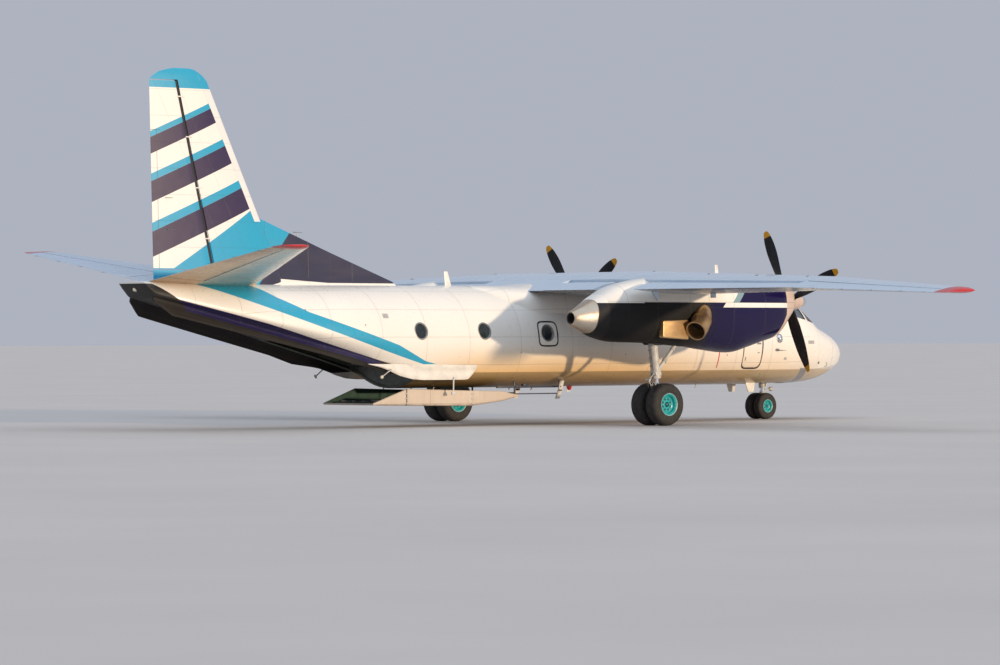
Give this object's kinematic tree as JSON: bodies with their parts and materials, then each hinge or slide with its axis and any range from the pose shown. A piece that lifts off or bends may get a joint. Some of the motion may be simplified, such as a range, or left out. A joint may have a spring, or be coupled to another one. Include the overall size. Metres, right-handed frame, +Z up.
{
  "type": "twin turboprop transport aircraft",
  "caption": "High-wing transport aircraft with wing-mounted turboprops, an upswept tail, a stowed cargo ramp under the belly and wheeled gear.",
  "frame": {"origin": "on the ground under the middle of the bounding box, as it stands on its gear", "axes": "+X towards the nose, +Y to port along the span, +Z up"},
  "size_m": [23.8, 29.2, 8.575],
  "materials": {
    "fuselage_paint": "satin",
    "radome_paint": "satin",
    "glazing": "gloss",
    "deck": "matte",
    "panel": "matte",
    "seat": "matte",
    "navy_paint": "gloss",
    "wing_paint": "satin",
    "nacelle_paint": "satin",
    "bare_metal": "satin",
    "engine": "satin",
    "propeller": "satin",
    "gear_paint": "satin",
    "wheel": "matte"
  },
  "bodies": {
    "airframe": {"cockpit_section": "fuselage_paint", "fuselage_front": "fuselage_paint", "crew_door": "fuselage_paint", "fuselage_centre": "fuselage_paint", "fuselage_rear": "fuselage_paint", "tail_cone": "fuselage_paint", "cargo_ramp": "fuselage_paint", "nose_door_left": "fuselage_paint", "nose_door_right": "fuselage_paint", "nose_radome": "radome_paint", "cockpit_glazing": "glazing", "navigator_blister": "glazing", "cockpit_floor": "deck", "cockpit_bulkhead": "deck", "hold_floor": "deck", "instrument_panel": "panel", "crew_seat_left": "seat", "crew_seat_right": "seat", "ventral_strake_left": "navy_paint", "ventral_strake_right": "navy_paint", "cowling_left": "navy_paint", "cowling_right": "navy_paint", "fin": "navy_paint", "dorsal_fin": "navy_paint", "wing_centre": "wing_paint", "wing_outer_left": "wing_paint", "wing_outer_right": "wing_paint", "tailplane_left": "wing_paint", "tailplane_right": "wing_paint", "nacelle_left": "nacelle_paint", "nacelle_right": "nacelle_paint", "nacelle_tail_left": "bare_metal", "nacelle_tail_right": "bare_metal", "exhaust_left": "bare_metal", "exhaust_right": "bare_metal", "engine_left": "engine", "engine_right": "engine", "main_leg_left": "gear_paint", "main_leg_right": "gear_paint", "nose_leg": "gear_paint"},
    "propeller_left": {"propeller_left": "propeller"},
    "propeller_right": {"propeller_right": "propeller"},
    "main_wheels_left": {"main_wheels_left": "wheel"},
    "main_wheels_right": {"main_wheels_right": "wheel"},
    "nose_fork": {"nose_fork": "gear_paint"},
    "nose_wheels": {"nose_wheels": "wheel"},
    "rudder": {"rudder": "navy_paint"},
    "elevator_left": {"elevator_left": "wing_paint"},
    "elevator_right": {"elevator_right": "wing_paint"},
    "aileron_left": {"aileron_left": "wing_paint"},
    "aileron_right": {"aileron_right": "wing_paint"},
    "flap_inner_left": {"flap_inner_left": "wing_paint"},
    "flap_inner_right": {"flap_inner_right": "wing_paint"},
    "flap_outer_left": {"flap_outer_left": "wing_paint"},
    "flap_outer_right": {"flap_outer_right": "wing_paint"}
  },
  "joints": [
    {"name": "propeller_left_spin", "type": "hinge", "parent": "airframe", "child": "propeller_left", "pos_m": [5.98, 3.95, 3.1], "axis": [1, 0, 0], "continuous": true},
    {"name": "propeller_right_spin", "type": "hinge", "parent": "airframe", "child": "propeller_right", "pos_m": [5.98, -3.95, 3.1], "axis": [1, 0, 0], "continuous": true},
    {"name": "main_wheels_left_roll", "type": "hinge", "parent": "airframe", "child": "main_wheels_left", "pos_m": [1.375, 3.95, 0.525], "axis": [0, 1, 0], "continuous": true},
    {"name": "main_wheels_right_roll", "type": "hinge", "parent": "airframe", "child": "main_wheels_right", "pos_m": [1.375, -3.95, 0.525], "axis": [0, 1, 0], "continuous": true},
    {"name": "nose_steering", "type": "hinge", "parent": "airframe", "child": "nose_fork", "pos_m": [9.08, 0, 0.8], "axis": [0, 0, 1], "range_deg": [-45, 45]},
    {"name": "nose_wheels_roll", "type": "hinge", "parent": "nose_fork", "child": "nose_wheels", "pos_m": [9.02, 0, 0.35], "axis": [0, 1, 0], "continuous": true},
    {"name": "rudder_hinge", "type": "hinge", "parent": "airframe", "child": "rudder", "pos_m": [-9.58713, 0, 3.8], "axis": [-0.2243, 0, 0.9745], "range_deg": [-25, 25]},
    {"name": "elevator_left_hinge", "type": "hinge", "parent": "airframe", "child": "elevator_left", "pos_m": [-10.37486, 0.745, 3.62265], "axis": [0.1751, -0.9725, -0.1536], "range_deg": [-30, 15]},
    {"name": "elevator_right_hinge", "type": "hinge", "parent": "airframe", "child": "elevator_right", "pos_m": [-10.37486, -0.745, 3.62265], "axis": [-0.1751, -0.9725, 0.1536], "range_deg": [-30, 15]},
    {"name": "aileron_left_hinge", "type": "hinge", "parent": "airframe", "child": "aileron_left", "pos_m": [0.5969, 9.87, 3.41749], "axis": [0.0223, -0.9989, 0.0406], "range_deg": [-24, 16]},
    {"name": "aileron_right_hinge", "type": "hinge", "parent": "airframe", "child": "aileron_right", "pos_m": [0.5969, -9.87, 3.41749], "axis": [-0.0223, -0.9989, -0.0406], "range_deg": [-24, 16]},
    {"name": "flap_outer_left_hinge", "type": "hinge", "parent": "airframe", "child": "flap_outer_left", "pos_m": [0.68375, 4.66, 3.12167], "axis": [0.0204, -0.9997, -0.0155], "range_deg": [0, 38]},
    {"name": "flap_outer_right_hinge", "type": "hinge", "parent": "airframe", "child": "flap_outer_right", "pos_m": [0.68375, -4.66, 3.12167], "axis": [-0.0204, -0.9997, 0.0155], "range_deg": [0, 38]},
    {"name": "flap_inner_left_hinge", "type": "hinge", "parent": "airframe", "child": "flap_inner_left", "pos_m": [0.72256, 1.475, 3.09214], "axis": [0.0057, -1, -0.0043], "range_deg": [0, 38]},
    {"name": "flap_inner_right_hinge", "type": "hinge", "parent": "airframe", "child": "flap_inner_right", "pos_m": [0.72256, -1.475, 3.09214], "axis": [-0.0057, -1, 0.0043], "range_deg": [0, 38]}
  ],
  "couplings": [
    {"joint": "elevator_right_hinge", "follows": "elevator_left_hinge", "ratio": 1},
    {"joint": "flap_outer_right_hinge", "follows": "flap_outer_left_hinge", "ratio": 1},
    {"joint": "flap_inner_left_hinge", "follows": "flap_outer_left_hinge", "ratio": 1},
    {"joint": "flap_inner_right_hinge", "follows": "flap_outer_left_hinge", "ratio": 1}
  ]
}
